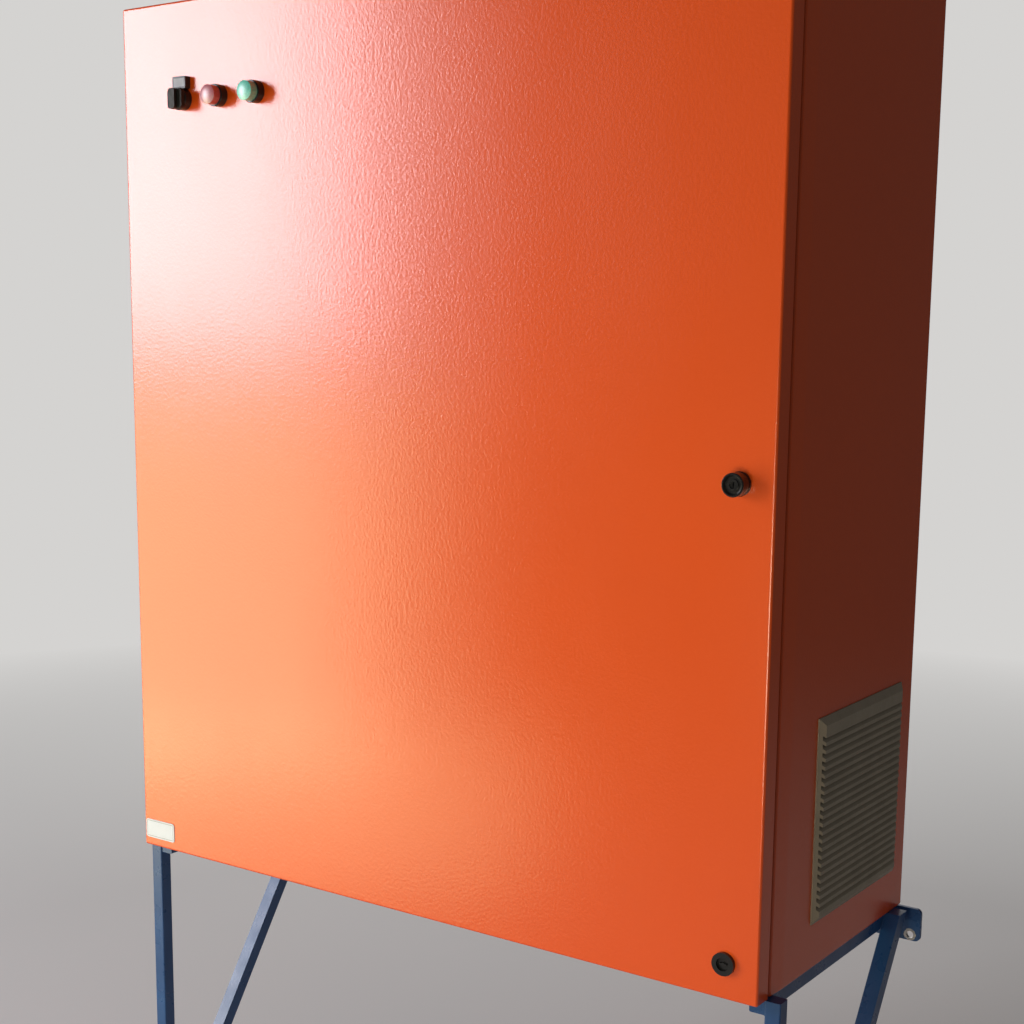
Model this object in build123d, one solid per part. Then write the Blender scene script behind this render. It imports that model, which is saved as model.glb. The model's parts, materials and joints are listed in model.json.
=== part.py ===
from build123d import *
import math
import os

# Electrical enclosure with one full-front door, carried on a welded tube stand that is bolted to a
# wall by two lugs. Millimetres. The origin is midway between the two lug holes on the wall plane:
# +X is to the viewer's right, +Y goes into the wall, +Z is up.

# Cabinet shell and door
cabinet_width = 1000
cabinet_height = 1200
body_depth = 400
sheet = 1.5
bend_radius = 3
collar_depth = 32
collar_slope = 2
door_depth = 27
door_gap = 8
door_sheet = 2
lip_inset = 22
lip_reach = 23
lip_radius = 8
seal_width = 12
contact_gap = 0.3
overlap = 1

# Stand of square tube with a flat bar against the wall
stand_height = 550
tube = 20
tube_wall = 2
tube_radius = 2
rail_inset = 4
leg_setback = 28
leg_top_drop = 1
rail_setback = 30
brace_back_distance = 20.7
brace_foot_rise = 19
bar_thickness = 5
bar_height = 45
bar_overhang = 30
bar_corner = 7
lug_hole_radius = 5
lug_hole_from_end = 14
lug_hole_drop = 38
lug_hole_edge = 8
foot_thickness = 4
foot_plug_length = 15
foot_clearance = 0.2
stand_bolt_inset = 10
stand_bolt_setback = 65
stand_bolt_radius = 4
stand_bolt_end = 6

# Bolts, screws and nuts
bolt_clearance = 0.5
thread_gap = 0.05
bolt_across = 13
bolt_head = 5.5
washer_share = 0.6
washer_thickness = 1
nut_height = 6.5

# Door hinges, hidden behind the left return of the door
hinge_inset = 7
hinge_depth = 18
hinge_knuckle_radius = 4.5
hinge_pin_radius = 3
hinge_running_gap = 0.05
hinge_pin_head = 3
hinge_leaf_height = 25
hinge_leaf_thickness = 2.5
hinge_leaf_margin = 2
hinge_arm_thickness = 4
hinge_arm_offset = 1
knuckle_weld = 0.5
hinge_end_distance = 120

# Locks along the right edge of the door
lock_inset = 43
lock_end_distance = 44
lock_flange_radius = 14
lock_barrel_radius = 10
lock_shaft_radius = 5
lock_running_gap = 0.05
lock_knob_proud = 19
lock_knob_radius = 13.5
lock_flange_thickness = 3
knob_rim = 2
knob_edge = 1
knob_dish = 3
knob_ring_inside = 4
knob_ring_outside = 6.5
knob_ring_height = 1.5
knob_key_width = 1.6
knob_key_height = 6
knob_key_depth = 9
insert_flange_thickness = 5
insert_radius = 8
insert_recess = 3.5
insert_pin_radius = 2
insert_pin_height = 2.5
insert_wing_length = 9
insert_wing_thickness = 1.8
lock_square = 7
cam_width = 18
cam_length = 34
cam_thickness = 3
cam_clearance = 1.5

# Switch and pilot lights in the door
device_height_drop = 129
device_left = 116
device_pitch = 66
device_hole_radius = 11.25
device_barrel_radius = 11
device_bezel_radius = 14.5
pilot_proud = 27
lens_dome = 3
lens_stem = 6
lens_radius = 12.5
bezel_depth = 12
bezel_step = 4.5
bezel_edge = 1
barrel_length = 12
knob_side = 26
knob_corner = 5
knob_proud = 25
knob_pointer_width = 11
knob_pointer_height = 6
knob_pointer_corner = 3
block_width = 30
block_height = 40
block_depth = 36
block_edge = 2
legend_width = 24
legend_height = 16
legend_depth = 10
legend_gap = 0.5
legend_corner = 1.5
plate_label_width = 58
plate_label_height = 28
plate_label_thickness = 1
plate_label_corner = 4
plate_label_margin = 4
plate_label_rise = 13

# Perforated strips inside the door
strip_width = 20
strip_depth = 15
strip_wall = 1.5
strip_left_inset = 45
strip_right_inset = 90
strip_end_margin = 60
strip_slot_pitch = 50
strip_slot_width = 8
strip_slot_height = 14

# Filter fan in the right side
vent_back_distance = 169
vent_height = 186
grille_side = 255
grille_depth = 7
grille_bevel = 9
grille_edge = 1.5
grille_rim = 5
slat_pitch = 10
slat_gap = 5.5
slat_count = 22
slat_tilt = 51
vent_cut = 224
fan_flange = 240
fan_flange_thickness = 2.5
fan_flange_gap = 0.5
fan_tray = 222
fan_tray_depth = 16
fan_tray_corner = 3
fan_wall = 2
fan_bore_radius = 76
fan_tunnel_reach = 60
fan_arm_count = 4
fan_arm_width = 9
fan_arm_thickness = 3
fan_motor_radius = 22
fan_motor_length = 12
fan_shaft_radius = 2.5
fan_shaft_end = 3
fan_shaft_gap = 0.05
fan_hub_radius = 30
fan_hub_length = 20
fan_hub_gap = 1
fan_hub_edge = 4
fan_blade_gap = 2
fan_blade_count = 7
blade_thickness = 1.6
blade_sink = 2
blade_margin = 1
blade_tip_chord = 34
blade_root_angle = 50
blade_tip_angle = 28
mat_side = 217
mat_thickness = 11

# Gland plate under the floor
gland_opening_width = 300
gland_opening_depth = 110
gland_plate_margin = 15
gland_plate_thickness = 2
gland_back_distance = 120
gland_screw_radius = 3
gland_screw_across = 8
gland_screw_head = 4
gland_screw_end = 5

# Mounting plate
plate_side_margin = 35
plate_end_margin = 35
plate_standoff = 25
plate_thickness = 2.5
plate_flange = 12
stud_inset = 20
stud_radius = 4
stud_collar_radius = 8
stud_end = 14

# Wiring ducts
duct_width = 50
duct_depth = 60
duct_wall = 2
duct_slot_pitch = 30
duct_slot_width = 9
duct_slot_depth = 40
duct_left_margin = 15
duct_right_margin = 65
duct_end_margin = 45
duct_bottom_rise = 125
duct_joint_gap = 10
cover_lip = 8
cover_gap = 0.3

# Mounting rails
hat_height = 35
hat_depth = 7.5
hat_sheet = 1
hat_foot = 27
hat_rail_margin = 10
upper_rail_drop = 215
middle_rail_rise = 560
lower_rail_rise = 285

# Equipment on the mounting plate
rail_hook_depth = 5
screw_depth = 6
device_edge = 2
switch_width = 105
switch_height = 161
switch_depth = 80
switch_corner = 3
switch_nose_depth = 86
switch_nose_width = 89
switch_nose_height = 80
switch_pole_count = 3
switch_port_width = 20
switch_port_height = 12
switch_port_front = 45
switch_port_back = 20
switch_screw_radius = 5
switch_screw_inset = 20
switch_rail_gap = 20
switch_margin = 35
breaker_pole_counts = [3, 1, 1]
breaker_gap = 1
breaker_margin = 15
pole_width = 18
breaker_height = 82
breaker_shoulder = 44
breaker_nose = 68
breaker_nose_height = 45
breaker_screw_radius = 3.5
breaker_wall = 2.4
contactor_width = 45
contactor_height = 76
contactor_shoulder = 47
contactor_depth = 86
contactor_nose_height = 46
contactor_pole_count = 3
contactor_screw_radius = 4
contactor_spacing = 70
relay_height = 52
relay_depth = 74
relay_back_gap = 12
relay_dial_radius = 5
relay_dial_depth = 2
relay_dial_rise = 8
supply_width = 60
supply_height = 125
supply_shoulder = 95
supply_depth = 105
supply_nose_height = 100
supply_slot_count = 6
supply_slot_width = 4
supply_slot_length = 55
supply_slot_depth = 4
terminal_width = 8
terminal_height = 45
terminal_shoulder = 29
terminal_depth = 42
terminal_nose_height = 22
terminal_screw_radius = 2
terminal_count = 16
terminal_gap = 0.1
bar_length = 300
bar_width = 12
bar_section = 6
bar_rise = 85
bar_hole_count = 10
bar_hole_radius = 2.5
insulator_height = 25
insulator_radius = 9
insulator_waist_radius = 7

# Toggles of the main switch and of the circuit breakers
lever_clearance = 0.4
lever_rest_angle = 30
breaker_lever_radius = 6
breaker_lever_length = 15
breaker_lever_thickness = 4
breaker_lever_sink = 2
switch_lever_radius = 12
switch_lever_width = 22
switch_lever_length = 30
switch_lever_thickness = 8
switch_lever_sink = 4

# Places worked out from the sizes
left = -cabinet_width / 2
right = cabinet_width / 2
base = lug_hole_drop
top = base + cabinet_height
middle_z = base + cabinet_height / 2
body_front = -body_depth
door_back = body_front - door_gap
door_front = door_back - door_depth
door_inner = door_front + door_sheet
lip_front = body_front - lip_reach
floor = base - stand_height
plate_back = -(sheet + plate_standoff)
plate_front = plate_back - plate_thickness
plate_left = left + plate_side_margin
plate_right = right - plate_side_margin
plate_bottom = base + plate_end_margin
plate_top = top - plate_end_margin
hinge_x = left + hinge_inset
hinge_y = door_front + hinge_depth
lock_x = right - lock_inset
cam_front = body_front + sheet + cam_clearance
device_z = top - device_height_drop
device_xs = [left + device_left + device_pitch * i for i in range(3)]
vent_y = -vent_back_distance
vent_z = base + vent_height
duct_left_x = plate_left + duct_left_margin + duct_width / 2
duct_right_x = plate_right - duct_right_margin - duct_width / 2
switch_x0 = duct_left_x + duct_width / 2 + switch_margin
rail_x0 = switch_x0 + switch_width + switch_rail_gap
rail_x1 = duct_right_x - duct_width / 2 - hat_rail_margin
rail_zs = [plate_bottom + lower_rail_rise, plate_bottom + middle_rail_rise, plate_top - upper_rail_drop]


def block(x, y, z):
    """A box between pairs of low and high values."""
    centre = [(low + high) / 2 for low, high in (x, y, z)]
    size = [high - low for low, high in (x, y, z)]
    return Pos(*centre) * Box(*size)


def along_x(sketch, low, high):
    """Extrudes a sketch drawn in Y and Z."""
    return extrude(Plane.YZ.offset(low) * sketch, high - low)


def along_y(sketch, front, back):
    """Extrudes a sketch drawn in X and Z."""
    return extrude(Plane.XZ.offset(-back) * sketch, back - front)


def along_z(sketch, low, high):
    """Extrudes a sketch drawn in X and Y."""
    return extrude(Plane.XY.offset(low) * sketch, high - low)


def turned(x, z, outline):
    """Revolves an outline of radius and Y values about a line along Y."""
    profile = make_face(Polyline(*outline, close=True))
    return Pos(x, 0, z) * revolve(profile, Axis.Y)


def round_hole(x, z, radius, front, back):
    """A cutter for a round hole along Y."""
    return along_y(Pos(x, z) * Circle(radius), front, back)


def outline(inset, radius):
    """The front view of the cabinet, set in by a distance."""
    shape = RectangleRounded(cabinet_width - 2 * inset, cabinet_height - 2 * inset, radius)
    return Pos(0, middle_z) * shape


def square_tube():
    """The section of a square tube with rounded corners."""
    inside = tube - 2 * tube_wall
    return RectangleRounded(tube, tube, tube_radius) - Rectangle(inside, inside)


def tube_cap():
    """The plan of a cap welded into the end of a tube."""
    return Rectangle(tube - tube_wall, tube - tube_wall)


def save(name, *pieces):
    """Writes the solids of one node to its own file."""
    solids = [solid for piece in pieces for solid in piece.solids()]
    export_step(Compound(solids), f"parts/{name}.step")


# Stand


def side_rail(side):
    """A tube under one side of the cabinet, closed at its front end."""
    centre = Pos(side * (right - rail_inset - tube / 2), base - tube / 2)
    front = door_front + rail_setback
    rail = along_y(centre * square_tube(), front, -bar_thickness)
    rail += along_y(centre * tube_cap(), front, front + tube_wall)
    for y in stand_bolt_ys():
        rail -= Pos(side * stand_bolt_x(), y, base) * Cylinder(stand_bolt_radius, tube)
    return rail


def stand_bolt_x():
    """Distance of the stand bolts from the middle plane."""
    return right - rail_inset - stand_bolt_inset


def stand_bolt_ys():
    """Places of the stand bolts from front to back."""
    return [body_front + stand_bolt_setback, -stand_bolt_setback]


def leg_x(side):
    """The middle of a leg, welded to the outer face of the side rail."""
    return side * (right - rail_inset + tube / 2)


def leg_back():
    """The rear face of a leg, where the brace is welded on."""
    return door_front + leg_setback + tube


def front_leg(side):
    """A vertical tube with a welded cap at its top, which stays below the swinging door."""
    centre = Pos(leg_x(side), door_front + leg_setback + tube / 2)
    high = base - leg_top_drop
    leg = along_z(centre * square_tube(), floor + foot_thickness, high)
    return leg + along_z(centre * tube_cap(), high - tube_wall, high)


def brace_outline(inset, low_y, high_z):
    """The side view of a brace in Y and Z, thinned by an inset on both faces."""
    slope = (-brace_back_distance - leg_back()) / (stand_height - brace_foot_rise)
    span = math.hypot(1, slope)
    back = -brace_back_distance - inset * span
    front = -brace_back_distance - (tube - inset) * span
    shift = (high_z - base) * slope
    points = [
        (front + shift, high_z),
        (back + shift, high_z),
        (low_y, base + (low_y - back) / slope),
        (low_y, base + (low_y - front) / slope),
    ]
    return make_face(Polyline(*points, close=True))


def brace(side):
    """A tube that leans forward from the rail to the leg, capped at its top."""
    x = leg_x(side)
    half = tube / 2
    bar = along_x(brace_outline(0, leg_back(), base), x - half, x + half)
    bore = brace_outline(tube_wall, leg_back(), base - tube_wall)
    return bar - along_x(bore, x - half + tube_wall, x + half - tube_wall)


def wall_bar():
    """The flat bar against the wall with a drilled lug at each end."""
    length = cabinet_width + 2 * bar_overhang
    z = bar_height / 2 - lug_hole_edge
    bar = along_y(Pos(0, z) * RectangleRounded(length, bar_height, bar_corner), -bar_thickness, 0)
    for side in (-1, 1):
        x = side * (length / 2 - lug_hole_from_end)
        bar -= round_hole(x, 0, lug_hole_radius, -bar_thickness, 0)
    return bar


def foot_plug(side):
    """A plastic plug pushed into the lower end of a leg."""
    centre = Pos(leg_x(side), door_front + leg_setback + tube / 2)
    inside = tube - 2 * (tube_wall + foot_clearance)
    plug = along_z(centre * RectangleRounded(tube, tube, tube_radius), floor, floor + foot_thickness)
    shank = along_z(centre * Rectangle(inside, inside), floor, floor + foot_thickness + foot_plug_length)
    return plug + shank


def hex_bolt(radius, across, head, length):
    """A hexagon bolt along Z, with the underside of its washer face at the origin."""
    washer = along_z(Circle(across * washer_share), 0, washer_thickness)
    hexagon = RegularPolygon(across / 2, 6, major_radius=False)
    top_face = washer_thickness + head
    return washer + along_z(hexagon, washer_thickness, top_face) + along_z(Circle(radius), -length, 0)


def stand_bolts():
    """Four bolts through the floor of the cabinet into the side rails."""
    length = sheet + tube_wall + stand_bolt_end
    bolt = hex_bolt(stand_bolt_radius - thread_gap, bolt_across, bolt_head, length)
    places = [(side * stand_bolt_x(), y) for side in (-1, 1) for y in stand_bolt_ys()]
    return [Pos(x, y, base + sheet) * bolt for x, y in places]


# Cabinet body


def shell_block(inset, back, front):
    """The solid outside or inside of the body, with the tapered collar at its front."""
    start = body_front + collar_depth
    radius = bend_radius - inset
    main = along_y(outline(inset, radius), start, back)
    collar = extrude(Plane.XZ.offset(-start) * outline(inset, radius), start - front, taper=collar_slope)
    return main + collar


def cabinet_body():
    """The folded shell: four walls, back, front frame and the raised lip of the rain channel."""
    outer = shell_block(0, 0, body_front)
    outer = fillet(outer.faces().sort_by(Axis.Y)[-1].edges(), bend_radius)
    outer = fillet(outer.faces().sort_by(Axis.Y)[0].edges(), bend_radius)
    body = outer - shell_block(sheet, -sheet, body_front + sheet)
    mouth = outline(lip_inset + sheet, lip_radius - sheet)
    lip = along_y(outline(lip_inset, lip_radius), lip_front, body_front + sheet)
    body = (body + lip) - along_y(mouth, lip_front, body_front + sheet)
    window = Pos(vent_y, vent_z) * RectangleRounded(vent_cut, vent_cut, bend_radius)
    body -= along_x(window, right - 2 * sheet, right + sheet)
    body -= along_z(gland_sketch(0), base, base + sheet)
    for x, y in gland_screw_places():
        body -= Pos(x, y, base) * Cylinder(gland_screw_radius, 4 * sheet)
    for side in (-1, 1):
        for y in stand_bolt_ys():
            hole = Cylinder(stand_bolt_radius + bolt_clearance, 4 * sheet)
            body -= Pos(side * stand_bolt_x(), y, base) * hole
    return body


def gland_sketch(margin):
    """The plan of the gland opening, grown by a margin."""
    y = -gland_back_distance
    width = gland_opening_width + 2 * margin
    depth = gland_opening_depth + 2 * margin
    return Pos(0, y) * RectangleRounded(width, depth, bend_radius)


def gland_screw_places():
    """Places of the gland plate screws in X and Y."""
    x = gland_opening_width / 2 + gland_plate_margin / 2
    y = gland_opening_depth / 2 + gland_plate_margin / 2
    return [(i * x, -gland_back_distance + j * y) for i in (-1, 1) for j in (-1, 1)]


def gland_plate():
    """The removable plate under the floor of the cabinet."""
    plate = along_z(gland_sketch(gland_plate_margin), base - gland_plate_thickness, base)
    for x, y in gland_screw_places():
        plate -= Pos(x, y, base) * Cylinder(gland_screw_radius, 4 * gland_plate_thickness)
    return plate


def gland_screws():
    """Screws that enter the gland plate from below."""
    length = gland_plate_thickness + sheet + gland_screw_end
    screw = hex_bolt(gland_screw_radius - thread_gap, gland_screw_across, gland_screw_head, length)
    seat = base - gland_plate_thickness
    return [Pos(x, y, seat) * Rot(180, 0, 0) * screw for x, y in gland_screw_places()]


# Mounting plate and what it carries


def stud_places():
    """Places of the four studs in X and Z."""
    xs = (plate_left + stud_inset, plate_right - stud_inset)
    zs = (plate_bottom + stud_inset, plate_top - stud_inset)
    return [(x, z) for x in xs for z in zs]


def mounting_plate():
    """A plate with both long edges folded towards the wall."""
    width = plate_right - plate_left
    section = Pos(0, (plate_front + plate_back) / 2) * Rectangle(width, plate_thickness)
    for side in (-1, 1):
        fold = Rectangle(plate_thickness, plate_flange)
        section += Pos(side * (width - plate_thickness) / 2, plate_front + plate_flange / 2) * fold
    plate = along_z(section, plate_bottom, plate_top)
    for x, z in stud_places():
        plate -= round_hole(x, z, stud_radius + bolt_clearance, plate_front, plate_back)
    return plate


def plate_stud(x, z):
    """A stud welded to the back of the body, with a collar that the plate rests on."""
    end = plate_front - stud_end
    points = [(0, -sheet), (stud_collar_radius, -sheet), (stud_collar_radius, plate_back)]
    points += [(stud_radius, plate_back), (stud_radius, end), (0, end)]
    return turned(x, z, points)


def plate_nut(x, z):
    """A nut that holds the mounting plate on its stud."""
    ring = RegularPolygon(bolt_across / 2, 6, major_radius=False) - Circle(stud_radius + thread_gap)
    return along_y(Pos(x, z) * ring, plate_front - nut_height, plate_front)


def hat_rail(z):
    """A top-hat rail along X on the mounting plate."""
    section = Pos(plate_front - hat_sheet / 2, z) * Rectangle(hat_sheet, hat_foot)
    for side in (-1, 1):
        web = Rectangle(hat_depth, hat_sheet)
        section += Pos(plate_front - hat_depth / 2, z + side * (hat_foot - hat_sheet) / 2) * web
        wing_height = (hat_height - hat_foot) / 2 + hat_sheet
        wing = Rectangle(hat_sheet, wing_height)
        wing_z = z + side * (hat_height - wing_height) / 2
        section += Pos(plate_front - hat_depth + hat_sheet / 2, wing_z) * wing
    return along_x(section, rail_x0, rail_x1)


def duct_trough(length):
    """A slotted trough along X, centred, standing out of the plane Y = 0."""
    outer = Pos(-duct_depth / 2, 0) * Rectangle(duct_depth, duct_width)
    hollow = Rectangle(duct_depth - duct_wall, duct_width - 2 * duct_wall)
    section = outer - Pos(-(duct_depth + duct_wall) / 2, 0) * hollow
    trough = along_x(section, -length / 2, length / 2)
    count = int((length - duct_slot_pitch) // duct_slot_pitch)
    slot = Box(duct_slot_width, duct_slot_depth, duct_width)
    slots = [
        Pos((i - (count - 1) / 2) * duct_slot_pitch, duct_slot_depth / 2 - duct_depth, 0) * slot
        for i in range(count)
    ]
    return trough - slots


def duct_cover(length):
    """The lid that clips over a trough of the same length."""
    width = duct_width + 2 * (cover_gap + duct_wall)
    outer = Pos(-duct_depth + (cover_lip - duct_wall) / 2, 0) * Rectangle(cover_lip + duct_wall, width)
    hollow = Rectangle(cover_lip, duct_width + 2 * cover_gap)
    section = outer - Pos(-duct_depth + cover_lip / 2, 0) * hollow
    return along_x(section, -length / 2, length / 2)


def duct_places():
    """Length and location of each duct: left, right, top and bottom."""
    low = plate_bottom + duct_end_margin
    high = plate_top - duct_end_margin
    upright = high - low
    level = duct_right_x - duct_left_x - duct_width - 2 * (cover_gap + duct_wall + duct_joint_gap)
    middle = (duct_left_x + duct_right_x) / 2
    return {
        "duct_left": (upright, Pos(duct_left_x, plate_front, (low + high) / 2) * Rot(0, 90, 0)),
        "duct_right": (upright, Pos(duct_right_x, plate_front, (low + high) / 2) * Rot(0, 90, 0)),
        "duct_top": (level, Pos(middle, plate_front, high - duct_width / 2)),
        "duct_bottom": (level, Pos(middle, plate_front, low + duct_bottom_rise)),
    }


def rail_profile(height, shoulder, nose, nose_height):
    """The side view of a rail-mounted device in Y and Z, with the notch that grips the rail."""
    half = height / 2
    step = nose_height / 2
    notch = hat_height / 2 + cover_gap
    rear = -(hat_depth - rail_hook_depth)
    points = [(rear, notch), (rear, half), (-shoulder, half), (-shoulder, step), (-nose, step)]
    points += [(y, -z) for y, z in reversed(points)]
    points += [(-hat_depth, -notch), (-hat_depth, notch)]
    return make_face(Polyline(*points, close=True))


def rail_device(x, z, width, profile):
    """A device housing with its left face at x, seated on the rail at height z."""
    return Pos(x, plate_front, z) * along_x(profile, 0, width)


def lever(width, radius, length, thickness):
    """A toggle that turns about X at the origin, its handle tilted up from straight ahead."""
    half = width / 2
    drum = along_x(Circle(radius), -half, half)
    handle = block((-half, half), (-length, 0), (-thickness / 2, thickness / 2))
    handle = fillet(handle.faces().sort_by(Axis.Y)[0].edges().filter_by(Axis.X), thickness / 3)
    return Rot(-lever_rest_angle, 0, 0) * (drum + handle)


def lever_pocket(width, radius):
    """The cutter for the round pocket that a toggle turns in."""
    half = width / 2 + lever_clearance
    return along_x(Circle(radius + lever_clearance), -half, half)


def breaker_places():
    """Left face and number of poles of each circuit breaker."""
    x = rail_x0 + breaker_margin
    places = []
    for poles in breaker_pole_counts:
        places.append((x, poles))
        x += poles * pole_width + breaker_gap
    return places


def breaker_lever_location(x, poles):
    """The pivot of a breaker's toggle."""
    y = plate_front - breaker_nose + breaker_lever_sink
    return Pos(x + poles * pole_width / 2, y, rail_zs[2])


def breaker_lever_width(poles):
    """The width of a breaker's toggle."""
    return poles * pole_width - 2 * (breaker_wall + lever_clearance)


def screw_openings(x, width, count, z, rise, radius, face):
    """Cutters for a row of screw openings above and below the middle of a device."""
    places = [(x + (i + 0.5) * width / count, z + side * rise) for i in range(count) for side in (-1, 1)]
    return [round_hole(hole_x, hole_z, radius, face, face + screw_depth) for hole_x, hole_z in places]


def breaker(x, poles):
    """A circuit breaker housing with a pocket for the toggle and two screw openings a pole."""
    width = poles * pole_width
    profile = rail_profile(breaker_height, breaker_shoulder, breaker_nose, breaker_nose_height)
    body = rail_device(x, rail_zs[2], width, profile)
    pivot = breaker_lever_location(x, poles)
    body -= pivot * lever_pocket(breaker_lever_width(poles), breaker_lever_radius)
    rise = (breaker_height + breaker_nose_height) / 4
    face = plate_front - breaker_shoulder
    return body - screw_openings(x, width, poles, rail_zs[2], rise, breaker_screw_radius, face)


def switch_centre():
    """Middle of the main switch in X and Z."""
    return switch_x0 + switch_width / 2, rail_zs[2]


def switch_lever_location():
    """The pivot of the main switch's toggle."""
    x, z = switch_centre()
    return Pos(x, plate_front - switch_nose_depth + switch_lever_sink, z)


def main_switch():
    """The housing of the main switch with its raised nose and terminal openings."""
    x, z = switch_centre()
    centre = Pos(x, z)
    face = plate_front - switch_depth
    body = along_y(centre * RectangleRounded(switch_width, switch_height, switch_corner), face, plate_front)
    nose = RectangleRounded(switch_nose_width, switch_nose_height, switch_corner)
    body += along_y(centre * nose, plate_front - switch_nose_depth, plate_front)
    body -= switch_lever_location() * lever_pocket(switch_lever_width, switch_lever_radius)
    start = x - switch_width / 2
    half = switch_port_width / 2
    depth = (plate_front - switch_port_front, plate_front - switch_port_back)
    for i in range(switch_pole_count):
        port_x = start + (i + 0.5) * switch_width / switch_pole_count
        for side in (-1, 1):
            end = z + side * switch_height / 2
            height = (end - switch_port_height, end + switch_port_height)
            body -= block((port_x - half, port_x + half), depth, height)
    rise = switch_height / 2 - switch_screw_inset
    return body - screw_openings(start, switch_width, switch_pole_count, z, rise, switch_screw_radius, face)


def contactor(x):
    """A contactor housing with three screw openings above and below."""
    profile = rail_profile(contactor_height, contactor_shoulder, contactor_depth, contactor_nose_height)
    body = rail_device(x, rail_zs[1], contactor_width, profile)
    rise = (contactor_height + contactor_nose_height) / 4
    face = plate_front - contactor_shoulder
    radius = contactor_screw_radius
    return body - screw_openings(x, contactor_width, contactor_pole_count, rail_zs[1], rise, radius, face)


def overload_relay(x):
    """The relay hung on the lower terminals of the first contactor."""
    high = rail_zs[1] - contactor_height / 2
    low = high - relay_height
    face = plate_front - relay_depth
    body = block((x, x + contactor_width), (face, plate_front - relay_back_gap), (low, high))
    body = fillet(body.faces().sort_by(Axis.Y)[0].edges(), device_edge)
    dial_x = x + contactor_width / contactor_pole_count
    dial_z = (low + high) / 2 + relay_dial_rise
    return body - round_hole(dial_x, dial_z, relay_dial_radius, face, face + relay_dial_depth)


def power_supply(x):
    """A rail-mounted supply with ventilation slots in its top."""
    profile = rail_profile(supply_height, supply_shoulder, supply_depth, supply_nose_height)
    body = rail_device(x, rail_zs[1], supply_width, profile)
    high = rail_zs[1] + supply_height / 2
    middle = plate_front - supply_shoulder / 2
    slot = Box(supply_slot_width, supply_slot_length, 2 * supply_slot_depth)
    pitch = supply_width / (supply_slot_count + 1)
    return body - [Pos(x + (i + 1) * pitch, middle, high) * slot for i in range(supply_slot_count)]


def terminal(x):
    """One feed-through terminal with two screw openings."""
    profile = rail_profile(terminal_height, terminal_shoulder, terminal_depth, terminal_nose_height)
    width = terminal_width - terminal_gap
    body = rail_device(x, rail_zs[0], width, profile)
    rise = (terminal_height + terminal_nose_height) / 4
    face = plate_front - terminal_shoulder
    return body - screw_openings(x, width, 1, rail_zs[0], rise, terminal_screw_radius, face)


def earth_bar():
    """A brass bar with a row of wire holes."""
    z = plate_bottom + bar_rise
    low, high = -bar_length / 2, bar_length / 2
    face = plate_front - insulator_height
    bar = block((low, high), (face - bar_section, face), (z - bar_width / 2, z + bar_width / 2))
    pitch = bar_length / (bar_hole_count + 2)
    for i in range(bar_hole_count):
        x = (i - (bar_hole_count - 1) / 2) * pitch
        bar -= round_hole(x, z, bar_hole_radius, face - bar_section, face)
    return bar


def bar_insulator(side):
    """A waisted insulator between the plate and the earth bar."""
    end = plate_front - insulator_height
    waist = (plate_front + end) / 2
    points = [(0, plate_front), (insulator_radius, plate_front), (insulator_waist_radius, waist)]
    points += [(insulator_radius, end), (0, end)]
    return turned(side * (bar_length / 2 - insulator_radius), plate_bottom + bar_rise, points)


# Filter fan


def filter_grille():
    """The outer louvre: a bevelled cover whose slanted gaps bite into the bevel."""
    foot = Pos(vent_y, vent_z) * Rectangle(grille_side, grille_side)
    front_side = grille_side - 2 * grille_bevel
    front = Pos(vent_y, vent_z) * Rectangle(front_side, front_side)
    edge = right + grille_edge
    cover = along_x(foot, right, edge)
    cover += loft([Plane.YZ.offset(edge) * foot, Plane.YZ.offset(right + grille_depth) * front])
    recess_side = fan_flange + 2 * fan_flange_gap
    recess = Pos(vent_y, vent_z) * Rectangle(recess_side, recess_side)
    cover -= along_x(recess, right, right + fan_flange_thickness)
    low_x = right - overlap
    high_x = right + grille_depth + overlap
    rise = math.tan(math.radians(slat_tilt)) * (high_x - low_x)
    reach = grille_side / 2 - grille_rim
    gaps = []
    for i in range(slat_count):
        z = vent_z + (i - (slat_count - 1) / 2) * slat_pitch
        points = [(low_x, z + rise / 2), (high_x, z - rise / 2)]
        points += [(high_x, z - rise / 2 - slat_gap), (low_x, z + rise / 2 - slat_gap)]
        section = Pos(0, slat_gap / 2) * make_face(Polyline(*points, close=True))
        gaps.append(along_y(section, vent_y - reach, vent_y + reach))
    return cover - gaps


def filter_mat():
    """The fibre mat that lies in the tray of the fan housing."""
    back = right - fan_tray_depth + fan_wall
    return along_x(Pos(vent_y, vent_z) * Rectangle(mat_side, mat_side), back, back + mat_thickness)


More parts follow.
